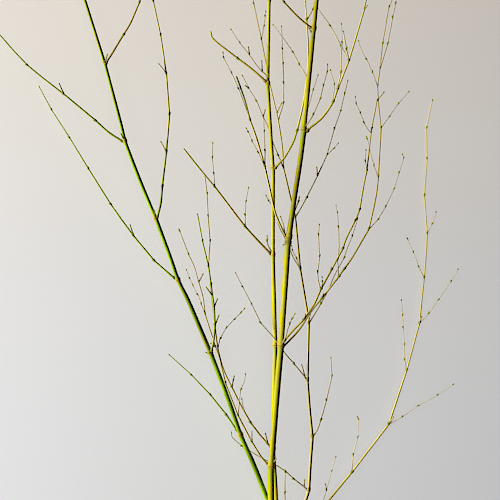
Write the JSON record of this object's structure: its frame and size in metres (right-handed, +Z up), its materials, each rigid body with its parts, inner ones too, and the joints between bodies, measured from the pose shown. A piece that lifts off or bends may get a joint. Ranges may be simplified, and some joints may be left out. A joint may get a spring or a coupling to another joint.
{
  "type": "bamboo sprig",
  "caption": "Leafless bamboo sprig lying flat: slender jointed canes in yellow and green that fork from one cut culm, with side branches and fine twigs at the nodes.",
  "frame": {"origin": "on the surface that the sprig lies on, under the middle of its box", "axes": "+Y from the cut butt towards the tips, +X to the right seen from above, +Z up from the surface"},
  "size_m": [0.7323, 1.144, 0.1014],
  "materials": {
    "culm_yellow": "satin, waxy",
    "cane_green": "satin, waxy",
    "cane_golden": "satin",
    "branch_brown": "matte, dry",
    "twig_tan": "matte, dry"
  },
  "bodies": {
    "root": {"main_culm": "culm_yellow", "back_cane": "culm_yellow", "green_cane": "cane_green", "right_cane": "cane_golden", "low_branch": "cane_golden", "main_left_branch_1": "branch_brown", "main_right_branch_2a": "cane_golden", "main_right_branch_2b": "branch_brown", "main_left_branch_3": "culm_yellow", "main_right_branch_4": "cane_golden", "main_left_branch_5": "culm_yellow", "back_left_branch_0": "branch_brown", "back_left_branch_2": "branch_brown", "back_right_branch_3": "branch_brown", "back_left_branch_4": "branch_brown", "back_left_twig_4": "twig_tan", "green_left_branch_1": "cane_green", "green_right_branch_2": "cane_green", "green_left_branch_3": "cane_green", "green_right_branch_4": "cane_golden", "green_left_branch_5": "cane_green", "green_right_branch_6": "branch_brown", "right_twig_low": "twig_tan", "right_twig_crossing": "twig_tan", "right_twig_middle": "twig_tan", "right_twig_upper": "twig_tan", "right_twig_top": "twig_tan"}
  },
  "joints": []
}
